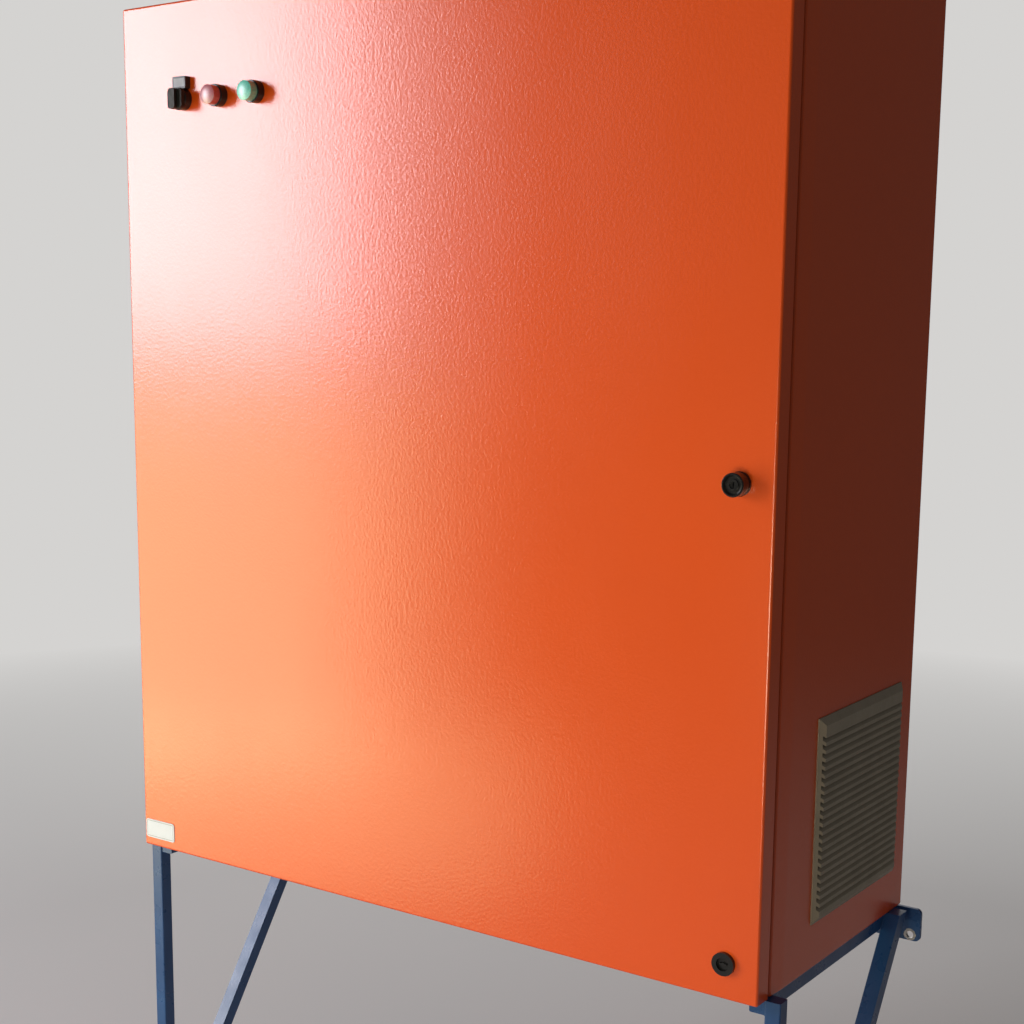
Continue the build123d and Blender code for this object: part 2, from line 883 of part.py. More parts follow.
def fan_housing():
    """The moulded frame: flange, filter tray, round tunnel, motor arms, motor and shaft."""
    centre = Pos(vent_y, vent_z)
    tray_back = right - fan_tray_depth
    tunnel_end = right - fan_tunnel_reach
    inner = fan_tray - 2 * fan_wall
    flange = Rectangle(fan_flange, fan_flange) - Rectangle(inner, inner)
    tray_outside = RectangleRounded(fan_tray, fan_tray, fan_tray_corner)
    tray = tray_outside - Rectangle(inner, inner)
    floor_plate = tray_outside - Circle(fan_bore_radius)
    tunnel = Circle(fan_bore_radius + fan_wall) - Circle(fan_bore_radius)
    housing = along_x(centre * flange, right, right + fan_flange_thickness)
    housing += along_x(centre * tray, tray_back, right + fan_flange_thickness)
    housing += along_x(centre * floor_plate, tray_back, tray_back + fan_wall)
    housing += along_x(centre * tunnel, tunnel_end, tray_back)
    arms = Circle(fan_motor_radius)
    arm_length = fan_bore_radius + fan_wall / 2
    arm = Pos(arm_length / 2, 0) * Rectangle(arm_length, fan_arm_width)
    for i in range(fan_arm_count):
        arms += Rot(0, 0, 360 / fan_arm_count * (i + 0.5)) * arm
    housing += along_x(centre * arms, tunnel_end, tunnel_end + fan_arm_thickness)
    motor_end = tunnel_end + fan_arm_thickness + fan_motor_length
    housing += along_x(centre * Circle(fan_motor_radius), tunnel_end, motor_end)
    shaft_end = motor_end + fan_hub_gap + fan_hub_length + fan_shaft_end
    return housing + along_x(centre * Circle(fan_shaft_radius), motor_end, shaft_end)


def fan_blade():
    """One twisted blade along Z, from inside the hub to its tip."""
    root = fan_hub_radius - blade_sink
    tip = fan_bore_radius - fan_blade_gap
    root_chord = (fan_hub_length - 2 * blade_margin) / math.sin(math.radians(blade_root_angle))
    ends = ((root, blade_root_angle, root_chord), (tip, blade_tip_angle, blade_tip_chord))
    faces = []
    for radius, angle, chord in ends:
        turn = Rot(0, 0, 90 - angle)
        faces.append(Plane.XY.offset(radius) * turn * Rectangle(chord, blade_thickness))
    return loft(faces)


def fan_rotor():
    """The hub with its shaft bore and seven twisted blades."""
    start = right - fan_tunnel_reach + fan_arm_thickness + fan_motor_length + fan_hub_gap
    hub = along_x(Circle(fan_hub_radius), -fan_hub_length / 2, fan_hub_length / 2)
    hub = fillet(hub.edges().sort_by(Axis.X)[-1], fan_hub_edge)
    blade = fan_blade()
    for i in range(fan_blade_count):
        hub += Rot(360 / fan_blade_count * i, 0, 0) * blade
    hub -= along_x(Circle(fan_shaft_radius + fan_shaft_gap), -fan_hub_length, fan_hub_length)
    return Pos(start + fan_hub_length / 2, vent_y, vent_z) * hub


# Door


def lock_zs():
    """Heights of the bottom, middle and top lock."""
    return [base + lock_end_distance, middle_z, top - lock_end_distance]


def door_panel():
    """The folded door: a front sheet with a return on all four sides, and its holes."""
    door = along_y(outline(0, bend_radius), door_front, door_back)
    door = fillet(door.faces().sort_by(Axis.Y)[0].edges(), bend_radius)
    door -= along_y(outline(door_sheet, bend_radius - door_sheet), door_inner, door_back)
    for x in device_xs:
        door -= round_hole(x, device_z, device_hole_radius, door_front, door_inner)
    for z in lock_zs():
        door -= round_hole(lock_x, z, lock_barrel_radius + bolt_clearance, door_front, door_inner)
    return door


def door_gasket():
    """The foamed seal that meets the lip of the body."""
    middle = lip_inset + sheet / 2
    outer = outline(middle - seal_width / 2, lip_radius + seal_width / 2)
    inner = outline(middle + seal_width / 2, lip_radius - seal_width / 2)
    return along_y(outer - inner, door_inner, lip_front - contact_gap)


def door_strip(x):
    """A perforated channel down the inside of the door."""
    low = base + strip_end_margin
    high = top - strip_end_margin
    outer = Pos(x, door_inner + strip_depth / 2) * Rectangle(strip_width, strip_depth)
    hollow = Rectangle(strip_width - 2 * strip_wall, strip_depth - strip_wall)
    section = outer - Pos(x, door_inner + (strip_depth - strip_wall) / 2) * hollow
    strip = along_z(section, low, high)
    count = int((high - low) // strip_slot_pitch) - 1
    slot = Box(strip_slot_width, 2 * strip_wall, strip_slot_height)
    first = Pos(x, door_inner + strip_depth, (low + high) / 2 - (count - 1) / 2 * strip_slot_pitch)
    return strip - [first * Pos(0, 0, i * strip_slot_pitch) * slot for i in range(count)]


def hinge_zs():
    """Heights of the three hinges."""
    return [base + hinge_end_distance, middle_z, top - hinge_end_distance]


def knuckle(z, low, high):
    """The round part of a hinge leaf with its bore."""
    ring = Circle(hinge_knuckle_radius) - Circle(hinge_pin_radius + hinge_running_gap)
    return along_z(Pos(hinge_x, hinge_y) * ring, z + low, z + high)


def hinge_body_leaf(z):
    """The lower knuckle with an arm to the lip of the body."""
    low, high = z - hinge_leaf_height, z - contact_gap / 2
    lip_x = left + lip_inset
    arm_back = hinge_y - hinge_arm_offset
    arm = (arm_back - hinge_arm_thickness, arm_back)
    leaf = block((hinge_x, lip_x), arm, (low, high))
    leaf += block((lip_x - hinge_leaf_thickness, lip_x), (arm[0], body_front), (low, high))
    leaf -= along_z(Pos(hinge_x, hinge_y) * Circle(hinge_knuckle_radius - knuckle_weld), low, high)
    return leaf + knuckle(z, -hinge_leaf_height, -contact_gap / 2)


def hinge_door_leaf(z):
    """The upper knuckle with a plate on the return of the door."""
    low, high = z + contact_gap / 2, z + hinge_leaf_height
    inside = hinge_x - hinge_knuckle_radius + 2 * knuckle_weld
    leaf = block((left + door_sheet, inside), (door_inner, door_back - hinge_leaf_margin), (low, high))
    return leaf + knuckle(z, contact_gap / 2, hinge_leaf_height)


def hinge_pin(z):
    """A headed pin pushed up through both knuckles."""
    centre = Pos(hinge_x, hinge_y)
    low = z - hinge_leaf_height
    head = along_z(centre * Circle(hinge_knuckle_radius), low - hinge_pin_head, low)
    return head + along_z(centre * Circle(hinge_pin_radius), low, z + hinge_leaf_height)


# Locks


def square_hole(x, z, front, back):
    """A cutter for the square socket of a cam."""
    return along_y(Pos(x, z) * Rectangle(lock_square, lock_square), front, back)


def lock_housing(z, thickness, dish):
    """A housing through the door, its outside flange dished where the insert is set back."""
    front = door_front - thickness
    end = cam_front - contact_gap
    bore = lock_shaft_radius + lock_running_gap
    points = [(bore, front), (lock_flange_radius, front), (lock_flange_radius, door_front)]
    points += [(lock_barrel_radius, door_front), (lock_barrel_radius, end), (bore, end)]
    housing = turned(lock_x, z, points)
    if dish:
        housing -= round_hole(lock_x, z, insert_radius, front, front + dish)
    return housing


def shaft_tail(x, z):
    """The square end of a lock shaft that carries its cam."""
    side = lock_square - 2 * lock_running_gap
    return along_y(Pos(x, z) * Rectangle(side, side), cam_front - overlap, cam_front + cam_thickness)


def lock_knob():
    """The round knob of the middle lock, dished round a raised ring, on its shaft."""
    front = door_front - lock_knob_proud
    back = door_front - lock_flange_thickness - contact_gap
    dish = front + knob_dish
    ring = dish - knob_ring_height
    points = [(0, dish), (knob_ring_inside, dish), (knob_ring_inside, ring), (knob_ring_outside, ring)]
    points += [(knob_ring_outside, dish), (lock_knob_radius - 2 * knob_rim, dish)]
    points += [(lock_knob_radius - knob_rim, front), (lock_knob_radius - knob_edge, front)]
    points += [(lock_knob_radius, front + knob_edge), (lock_knob_radius, back), (lock_shaft_radius, back)]
    points += [(lock_shaft_radius, cam_front), (0, cam_front)]
    knob = turned(lock_x, middle_z, points)
    key = Pos(lock_x, middle_z) * Rectangle(knob_key_width, knob_key_height)
    knob -= along_y(key, front, front + knob_key_depth)
    return knob + shaft_tail(lock_x, middle_z)


def lock_insert(z):
    """The turning insert of a small lock: a shaft with a two-winged bit in the recess."""
    bottom = door_front - insert_flange_thickness + insert_recess
    tip = bottom - insert_pin_height
    points = [(0, tip), (insert_pin_radius, tip), (insert_pin_radius, bottom), (lock_shaft_radius, bottom)]
    points += [(lock_shaft_radius, cam_front), (0, cam_front)]
    insert = turned(lock_x, z, points)
    wings = Pos(lock_x, z) * Rectangle(insert_wing_length, insert_wing_thickness)
    return insert + along_y(wings, tip, bottom + overlap) + shaft_tail(lock_x, z)


def lock_cam(z, side):
    """The tongue behind the front frame, pointing along the door when the lock is open."""
    tongue = Pos(0, cam_length / 2) * Rectangle(cam_width, cam_length)
    tongue = chamfer(tongue.vertices().sort_by(Axis.Y)[-2:], cam_width / 4)
    plate = Rot(0, 0, 90 - 90 * side) * (Circle(cam_width / 2) + tongue)
    cam = along_y(Pos(lock_x, z) * plate, cam_front, cam_front + cam_thickness)
    return cam - square_hole(lock_x, z, cam_front, cam_front + cam_thickness)


# Devices in the door


def device_bezel(x):
    """The bezel and threaded barrel of a door device."""
    front = door_front - bezel_depth
    end = door_inner + barrel_length
    bore = lens_radius - bezel_step
    points = [(bore, front), (device_bezel_radius - bezel_edge, front)]
    points += [(device_bezel_radius, front + bezel_edge)]
    points += [(device_bezel_radius, door_front), (device_barrel_radius, door_front)]
    points += [(device_barrel_radius, end), (bore, end)]
    return turned(x, device_z, points)


def pilot_lens(x):
    """A domed lens cap seated on the bezel, with its stem inside the barrel."""
    front = door_front - pilot_proud
    back = door_front - bezel_depth
    stem = lens_radius - bezel_step - contact_gap
    shoulder = front + lens_dome
    sphere = (lens_radius**2 + lens_dome**2) / (2 * lens_dome)
    half_way = lens_radius / 2
    crown = front + sphere - math.sqrt(sphere**2 - half_way**2)
    points = [(0, front), (0, back + lens_stem), (stem, back + lens_stem), (stem, back)]
    points += [(lens_radius, back), (lens_radius, shoulder)]
    dome = ThreePointArc((lens_radius, shoulder), (half_way, crown), (0, front))
    return Pos(x, 0, device_z) * revolve(make_face(Polyline(*points) + dome), Axis.Y)


def selector_knob():
    """The square knob of the selector with its raised pointer and shaft."""
    x = device_xs[0]
    front = door_front - knob_proud
    back = door_front - bezel_depth - contact_gap
    centre = Pos(x, device_z)
    grip = RectangleRounded(knob_side, knob_side, knob_corner)
    pointer = RectangleRounded(knob_pointer_width, knob_side, knob_pointer_corner)
    shaft = Circle(lens_radius - bezel_step - lock_running_gap)
    knob = along_y(centre * grip, front + knob_pointer_height, back)
    knob += along_y(centre * pointer, front, back)
    return knob + along_y(centre * shaft, back, door_inner + barrel_length - contact_gap)


def legend_block():
    """The legend holder above the selector."""
    low = device_z + knob_side / 2 + legend_gap
    x = device_xs[0]
    outside = RectangleRounded(legend_width, legend_height, legend_corner)
    front = door_front - legend_depth
    holder = along_y(Pos(x, low + legend_height / 2) * outside, front, door_front)
    return holder - round_hole(x, device_z, device_bezel_radius + contact_gap, front, door_front)


def device_block(x):
    """The rear block clipped on the barrel of a door device."""
    front = door_inner + barrel_length
    body = along_y(Pos(x, device_z) * Rectangle(block_width, block_height), front, front + block_depth)
    return chamfer(body.faces().sort_by(Axis.Y)[-1].edges(), block_edge)


def nameplate():
    """The small bare plate in the lower left corner of the door."""
    x = left + plate_label_margin + plate_label_width / 2
    z = base + plate_label_rise + plate_label_height / 2
    label = RectangleRounded(plate_label_width, plate_label_height, plate_label_corner)
    return along_y(Pos(x, z) * label, door_front - plate_label_thickness, door_front)


os.makedirs("parts", exist_ok=True)

for side, name in ((-1, "left"), (1, "right")):
    save(f"side_rail_{name}", side_rail(side))
    save(f"front_leg_{name}", front_leg(side))
    save(f"brace_{name}", brace(side))
save("wall_bar", wall_bar())
save("foot_plugs", foot_plug(-1), foot_plug(1))
save("stand_bolts", *stand_bolts())

save("cabinet_body", cabinet_body())
save("gland_plate", gland_plate())
save("gland_screws", *gland_screws())
save("mounting_plate", mounting_plate())
save("plate_studs", *[plate_stud(x, z) for x, z in stud_places()])
save("plate_nuts", *[plate_nut(x, z) for x, z in stud_places()])

save("din_rails", *[hat_rail(z) for z in rail_zs])
covers = []
for name, (length, place) in duct_places().items():
    save(name, place * duct_trough(length))
    covers.append(place * duct_cover(length))
save("duct_covers", *covers)

save("main_switch", main_switch())
switch_lever = lever(switch_lever_width, switch_lever_radius, switch_lever_length, switch_lever_thickness)
save("main_switch_toggle", switch_lever_location() * switch_lever)
for i, (x, poles) in enumerate(breaker_places(), start=1):
    save(f"breaker_{i}", breaker(x, poles))
    width = breaker_lever_width(poles)
    handle = lever(width, breaker_lever_radius, breaker_lever_length, breaker_lever_thickness)
    save(f"breaker_toggle_{i}", breaker_lever_location(x, poles) * handle)

contactor_x = rail_x0 + breaker_margin
save("contactor_1", contactor(contactor_x))
save("contactor_2", contactor(contactor_x + contactor_spacing))
save("overload_relay", overload_relay(contactor_x))
save("power_supply", power_supply(rail_x1 - supply_width - breaker_margin))
terminal_x = rail_x0 + breaker_margin
save("terminal_blocks", *[terminal(terminal_x + terminal_width * i) for i in range(terminal_count)])
save("earth_bar", earth_bar())
save("bar_insulators", bar_insulator(-1), bar_insulator(1))

save("filter_grille", filter_grille())
save("filter_mat", filter_mat())
save("fan_housing", fan_housing())
save("fan_rotor", fan_rotor())

save("door_panel", door_panel())
save("door_gasket", door_gasket())
strip_xs = [left + strip_left_inset + strip_width / 2, right - strip_right_inset - strip_width / 2]
save("door_strips", *[door_strip(x) for x in strip_xs])
save("hinge_body_leaves", *[hinge_body_leaf(z) for z in hinge_zs()])
save("hinge_door_leaves", *[hinge_door_leaf(z) for z in hinge_zs()])
save("hinge_pins", *[hinge_pin(z) for z in hinge_zs()])

save("lock_knob", lock_knob())
bottom_z, centre_z, top_z = lock_zs()
housings = [lock_housing(z, insert_flange_thickness, insert_recess) for z in (bottom_z, top_z)]
save("lock_housings", lock_housing(centre_z, lock_flange_thickness, 0), *housings)
save("lock_insert_bottom", lock_insert(bottom_z))
save("lock_insert_top", lock_insert(top_z))
for name, z, side in (("bottom", bottom_z, 1), ("middle", centre_z, 1), ("top", top_z, -1)):
    save(f"lock_cam_{name}", lock_cam(z, side))

save("device_bezels", *[device_bezel(x) for x in device_xs])
save("pilot_red_lens", pilot_lens(device_xs[1]))
save("pilot_green_lens", pilot_lens(device_xs[2]))
save("selector_knob", selector_knob())
save("legend_block", legend_block())
save("device_blocks", *[device_block(x) for x in device_xs])
save("nameplate", nameplate())
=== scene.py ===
import json
import math

import bpy
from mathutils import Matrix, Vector


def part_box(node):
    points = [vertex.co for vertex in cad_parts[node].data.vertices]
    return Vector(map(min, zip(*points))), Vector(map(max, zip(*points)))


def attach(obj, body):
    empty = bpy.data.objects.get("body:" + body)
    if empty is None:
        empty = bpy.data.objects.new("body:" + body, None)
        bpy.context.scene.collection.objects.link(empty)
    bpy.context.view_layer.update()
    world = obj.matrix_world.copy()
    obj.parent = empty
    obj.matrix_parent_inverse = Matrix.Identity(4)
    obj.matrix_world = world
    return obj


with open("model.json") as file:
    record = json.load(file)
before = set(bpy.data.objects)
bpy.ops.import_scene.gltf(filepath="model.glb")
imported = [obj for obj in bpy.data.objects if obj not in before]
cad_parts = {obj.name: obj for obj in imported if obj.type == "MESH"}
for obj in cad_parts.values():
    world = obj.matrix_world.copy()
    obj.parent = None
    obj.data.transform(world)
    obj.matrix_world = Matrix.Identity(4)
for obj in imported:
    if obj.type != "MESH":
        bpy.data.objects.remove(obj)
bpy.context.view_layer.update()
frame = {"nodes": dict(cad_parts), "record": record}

MM = 0.001

# Camera of the photograph: its place in metres, its turns in degrees, its lens and sensor in
# millimetres, and the pixel that the lens axis goes through
CAMERA_PLACE = (1.289, -2.124, 0.825)
CAMERA_YAW = -37.69
CAMERA_PITCH = -9.72
CAMERA_ROLL = -0.09
CAMERA_LENS = 59.1
SENSOR_WIDTH = 36
IMAGE_SIDE = 1024
AXIS_PIXEL = (400, 600)

# Colour of the surround, and the light that it gives the object: dim away from LIT_WAY, more
# towards it
SURROUND = (1.0, 0.985, 0.965)
AMBIENT_SHADE = 0.13
AMBIENT_LIT = 0.26
LIT_WAY = (-0.85, -0.52, 0)
LIT_EDGE = (-0.5, 0.9)

# How bright the surround looks to the camera, and in gloss and glass behind the object and
# elsewhere
BACKGROUND = 0.66
MIRRORED = 0.05
BACKDROP_WAY = (-0.61, 0.79, 0)
BACKDROP_EDGE = (0.75, 0.95)

# Half the floor's side, and where it starts and ends fading into the surround, in metres
FLOOR_REACH = 30
FADE = (1.6, 4.5)

# Places on the object, worked out from the frame
BAR_LOW, BAR_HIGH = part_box("wall_bar")
FLOOR_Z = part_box("foot_plugs")[0].z
LUG_HOLE_FROM_END = 14 * MM

# Worn paint round the lug holes: its ragged edge, and how far from the middle it ends
WORN_RAGGED = 1.6 * MM
WORN_EDGE = (8.4 * MM, 7.6 * MM)

TERMINALS = 16
COLOURED_TERMINALS = 2

NAMEPLATE_MARGIN = 2 * MM
NAMEPLATE_LINE = 0.7 * MM
LEGEND_MARGIN = 2.5 * MM
LEGEND_FRONT = 1 * MM


# Materials


class Graph:
    """Short calls that add texture nodes to a node tree."""

    def __init__(self, tree, place):
        self.nodes = tree.nodes
        self.links = tree.links
        self.place = self.nodes.new("ShaderNodeTexCoord").outputs[place]

    def feed(self, value, socket):
        """Links a pattern to a socket, or writes a number on it."""
        if isinstance(value, (int, float)):
            socket.default_value = value
        else:
            self.links.new(value, socket)

    def stretched(self, scale):
        """The coordinates, scaled apart on each axis."""
        mapping = self.nodes.new("ShaderNodeMapping")
        mapping.inputs["Scale"].default_value = scale
        self.links.new(self.place, mapping.inputs["Vector"])
        return mapping.outputs["Vector"]

    def noise(self, scale, detail=3.0, rough=0.55, place=None):
        """A noise pattern from 0 to 1, its scale in waves per metre."""
        node = self.nodes.new("ShaderNodeTexNoise")
        node.inputs["Scale"].default_value = scale
        node.inputs["Detail"].default_value = detail
        node.inputs["Roughness"].default_value = rough
        self.links.new(place or self.place, node.inputs["Vector"])
        return node.outputs["Fac"]

    def cells(self, scale, output="Distance"):
        """A cell pattern, its scale in cells per metre."""
        node = self.nodes.new("ShaderNodeTexVoronoi")
        node.inputs["Scale"].default_value = scale
        self.links.new(self.place, node.inputs["Vector"])
        return node.outputs[output]

    def span(self, value, low, high, to_low=0.0, to_high=1.0):
        """Maps a range of one pattern to another range, held at its ends."""
        node = self.nodes.new("ShaderNodeMapRange")
        node.inputs["From Min"].default_value = low
        node.inputs["From Max"].default_value = high
        node.inputs["To Min"].default_value = to_low
        node.inputs["To Max"].default_value = to_high
        self.links.new(value, node.inputs["Value"])
        return node.outputs["Result"]

    def maths(self, operation, a, b):
        """One step of arithmetic between patterns or numbers."""
        node = self.nodes.new("ShaderNodeMath")
        node.operation = operation
        for value, socket in zip((a, b), node.inputs):
            self.feed(value, socket)
        return node.outputs["Value"]

    def fade(self, factor, a, b):
        """Goes from one pattern or number to another as the factor rises."""
        node = self.nodes.new("ShaderNodeMix")
        for value, name in zip((factor, a, b), ("Factor", "A", "B")):
            self.feed(value, node.inputs[name])
        return node.outputs["Result"]

    def distance(self, centre, flat=(1, 1, 1)):
        """Distance from a point, with an axis left out where flat is 0."""
        mapping = self.nodes.new("ShaderNodeMapping")
        mapping.inputs["Location"].default_value = [-c * f for c, f in zip(centre, flat)]
        mapping.inputs["Scale"].default_value = flat
        length = self.nodes.new("ShaderNodeVectorMath")
        length.operation = "LENGTH"
        self.links.new(self.place, mapping.inputs["Vector"])
        self.links.new(mapping.outputs["Vector"], length.inputs[0])
        return length.outputs["Value"]

    def axis(self, name):
        """One coordinate, in metres."""
        split = self.nodes.new("ShaderNodeSeparateXYZ")
        self.links.new(self.place, split.inputs["Vector"])
        return split.outputs[name]

    def toward(self, way):
        """How far a place lies in a level direction from the middle, from -1 to 1."""
        level = self.nodes.new("ShaderNodeVectorMath")
        level.operation = "MULTIPLY"
        level.inputs[1].default_value = (1, 1, 0)
        unit = self.nodes.new("ShaderNodeVectorMath")
        unit.operation = "NORMALIZE"
        dot = self.nodes.new("ShaderNodeVectorMath")
        dot.operation = "DOT_PRODUCT"
        dot.inputs[1].default_value = way
        self.links.new(self.place, level.inputs[0])
        self.links.new(level.outputs["Vector"], unit.inputs[0])
        self.links.new(unit.outputs["Vector"], dot.inputs[0])
        return dot.outputs["Value"]

    def seen(self):
        """1 for rays from the camera, and 1 for those that mirror it or pass through glass."""
        path = self.nodes.new("ShaderNodeLightPath").outputs
        mirrored = self.maths("MAXIMUM", path["Is Glossy Ray"], path["Is Transmission Ray"])
        return path["Is Camera Ray"], mirrored

    def glow(self):
        """The surround's strength in gloss and glass: pale behind the object, dim elsewhere."""
        return self.span(self.toward(BACKDROP_WAY), *BACKDROP_EDGE, MIRRORED, BACKGROUND)


class Shader(Graph):
    """A Principled material, with its patterns in the object's coordinates."""

    def __init__(self, name, colour, roughness, metallic=0.0, specular=0.5):
        self.material = bpy.data.materials.new(name)
        self.material.use_nodes = True
        super().__init__(self.material.node_tree, "Object")
        self.main = self.nodes["Principled BSDF"]
        self.set("Base Color", (*colour, 1))
        self.set("Roughness", roughness)
        self.set("Metallic", metallic)
        self.set("Specular IOR Level", specular)
        self.normal = None

    def set(self, socket, value):
        """Writes a constant on the shader's own socket."""
        self.main.inputs[socket].default_value = value

    def tint(self, factor, colour):
        """Mixes a colour over the base colour where a pattern says."""
        mix = self.nodes.new("ShaderNodeMix")
        mix.data_type = "RGBA"
        base = self.main.inputs["Base Color"]
        if base.links:
            self.links.new(base.links[0].from_socket, mix.inputs["A"])
        else:
            mix.inputs["A"].default_value = base.default_value
        mix.inputs["B"].default_value = (*colour, 1)
        self.links.new(factor, mix.inputs["Factor"])
        self.links.new(mix.outputs["Result"], base)

    def drive(self, socket, value):
        """Feeds a pattern into a socket of the shader."""
        self.links.new(value, self.main.inputs[socket])

    def bump(self, height, depth, strength=1.0):
        """Adds a relief, its depth in metres, on top of the ones before."""
        node = self.nodes.new("ShaderNodeBump")
        node.inputs["Distance"].default_value = depth
        node.inputs["Strength"].default_value = strength
        self.links.new(height, node.inputs["Height"])
        if self.normal:
            self.links.new(self.normal, node.inputs["Normal"])
        self.normal = node.outputs["Normal"]
        self.links.new(self.normal, self.main.inputs["Normal"])


def orange_paint():
    """Powder coat with a fine orange peel, faint blotches and wiped streaks."""
    s = Shader("orange_paint", (0.64, 0.074, 0.005), 0.22, specular=0.75)
    s.tint(s.span(s.noise(2.2, 2), 0.35, 0.7, 0, 0.25), (0.56, 0.06, 0.004))
    s.tint(s.span(s.noise(420, 2), 0.5, 0.8, 0, 0.12), (0.72, 0.11, 0.012))
    wiped = s.noise(1, 2, 0.5, s.stretched((7, 7, 2.5)))
    s.drive("Roughness", s.span(wiped, 0.35, 0.75, 0.21, 0.235))
    s.bump(s.noise(230, 1), 0.2 * MM)
    s.bump(s.noise(500, 2, 0.6), 0.06 * MM)
    return s.material


def blue_paint():
    """Brushed gloss enamel, worn to bare steel round the lug holes."""
    s = Shader("blue_paint", (0.015, 0.056, 0.17), 0.3, specular=0.45)
    s.tint(s.span(s.noise(14, 3), 0.4, 0.7, 0, 0.5), (0.028, 0.09, 0.24))
    edge = s.noise(260, 3)
    wear = None
    for x in (BAR_LOW.x + LUG_HOLE_FROM_END, BAR_HIGH.x - LUG_HOLE_FROM_END):
        ring = s.distance((x, BAR_LOW.y, 0))
        ragged = s.maths("ADD", ring, s.span(edge, 0, 1, -WORN_RAGGED, WORN_RAGGED))
        here = s.span(ragged, *WORN_EDGE)
        wear = here if wear is None else s.maths("MAXIMUM", wear, here)
    s.tint(wear, (0.5, 0.49, 0.47))
    s.drive("Metallic", s.maths("MULTIPLY", wear, 0.9))
    s.drive("Roughness", s.span(s.noise(30, 4), 0.3, 0.75, 0.24, 0.38))
    s.bump(s.noise(1, 3, 0.6, s.stretched((260, 260, 45))), 0.3 * MM, 0.4)
    s.bump(s.noise(900, 2), 0.08 * MM, 0.5)
    return s.material


def zinc_sheet():
    """Galvanised sheet with its crystal pattern."""
    s = Shader("zinc_sheet", (0.58, 0.6, 0.63), 0.42, metallic=0.75)
    crystal = s.cells(120, "Color")
    s.tint(s.span(crystal, 0.2, 0.9, 0, 0.35), (0.48, 0.5, 0.53))
    s.drive("Roughness", s.span(crystal, 0.1, 0.9, 0.38, 0.48))
    s.bump(s.noise(600, 2), 0.08 * MM, 0.5)
    return s.material


def zinc_steel():
    """Zinc-plated steel, faintly blue, with drawing lines."""
    s = Shader("zinc_steel", (0.56, 0.57, 0.6), 0.3, metallic=1.0)
    s.tint(s.span(s.noise(60, 3), 0.4, 0.8, 0, 0.5), (0.5, 0.48, 0.4))
    s.drive("Roughness", s.span(s.noise(240, 3), 0.3, 0.7, 0.22, 0.42))
    s.bump(s.noise(1, 2, 0.5, s.stretched((900, 900, 120))), 0.1 * MM, 0.4)
    return s.material


def plastic(name, colour, roughness, grain=700, depth=0.08, shade=0.85):
    """The shader of a moulded plastic: a grain, its depth in millimetres, and flow marks."""
    s = Shader(name, colour, roughness)
    s.tint(s.span(s.noise(35, 3), 0.4, 0.75, 0, 0.5), [c * shade for c in colour])
    s.drive("Roughness", s.span(s.noise(180, 3), 0.3, 0.7, roughness * 0.85, roughness * 1.2))
    s.bump(s.noise(grain, 2, 0.6), depth * MM, 0.6)
    return s


def black_plastic():
    """Glossy black thermoplastic with fine handling marks."""
    s = plastic("black_plastic", (0.012, 0.012, 0.013), 0.22, 500, 0.05)
    s.set("Specular IOR Level", 0.4)
    s.set("Coat Weight", 0.1)
    s.set("Coat Roughness", 0.12)
    return s.material


def grille_plastic():
    """Beige-grey plastic of the filter grille, darker in broad random patches."""
    s = plastic("grille_plastic", (0.31, 0.26, 0.19), 0.55, 620, 0.1, 0.8)
    s.tint(s.span(s.noise(9, 4, 0.65), 0.45, 0.8, 0, 0.35), (0.2, 0.165, 0.115))
    return s.material


def lens(name, colour, deep):
    """A tinted cap that passes a little light, with a fine prism pattern and a hazy gloss."""
    s = Shader(name, colour, 0.45, specular=0.9)
    s.set("Transmission Weight", 0.2)
    s.set("IOR", 1.49)
    s.set("Coat Weight", 1.0)
    s.set("Coat Roughness", 0.48)
    s.set("Coat IOR", 2.5)
    s.tint(s.span(s.cells(520), 0.2, 0.7, 0, 0.5), deep)
    s.bump(s.noise(260, 1), 0.05 * MM, 0.2)
    return s.material


def terminal_plastic():
    """Beige terminals, the first two blue and the last two green."""
    s = plastic("beige_plastic", (0.5, 0.47, 0.39), 0.45)
    low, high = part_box("terminal_blocks")
    coloured = COLOURED_TERMINALS * (high.x - low.x) / TERMINALS
    along = s.axis("X")
    s.tint(s.maths("LESS_THAN", along, low.x + coloured), (0.04, 0.16, 0.5))
    s.tint(s.maths("GREATER_THAN", along, high.x - coloured), (0.09, 0.3, 0.08))
    return s.material


def brass():
    """Drawn brass, lightly tarnished."""
    s = Shader("brass", (0.72, 0.5, 0.2), 0.28, metallic=1.0)
    s.tint(s.span(s.noise(45, 4), 0.45, 0.8, 0, 0.5), (0.45, 0.29, 0.12))
    s.bump(s.noise(1, 2, 0.5, s.stretched((60, 900, 900))), 0.06 * MM, 0.5)
    return s.material


def foam():
    """Foamed-in-place seal with small open cells in its skin."""
    s = Shader("foam", (0.035, 0.035, 0.037), 0.85, specular=0.25)
    s.tint(s.span(s.noise(300, 3), 0.45, 0.75, 0, 0.6), (0.07, 0.07, 0.072))
    s.bump(s.cells(420), 0.6 * MM, 0.6)
    return s.material


def fibre():
    """Felted filter fibre, greyed with dust."""
    s = Shader("fibre", (0.55, 0.54, 0.5), 0.95, specular=0.1)
    s.tint(s.span(s.noise(55, 4, 0.7), 0.4, 0.7, 0, 0.7), (0.3, 0.28, 0.24))
    s.set("Sheen Weight", 0.3)
    s.bump(s.noise(900, 4, 0.7), 1.2 * MM, 0.8)
    return s.material


def from_edge(s, low, high):
    """Distance to the nearest edge of a box's front, for points inside it."""
    to_edges = []
    for name, start, end in (("X", low.x, high.x), ("Z", low.z, high.z)):
        place = s.axis(name)
        from_start = s.maths("SUBTRACT", place, start)
        to_edges.append(s.maths("MINIMUM", from_start, s.maths("SUBTRACT", end, place)))
    return s.maths("MINIMUM", *to_edges)


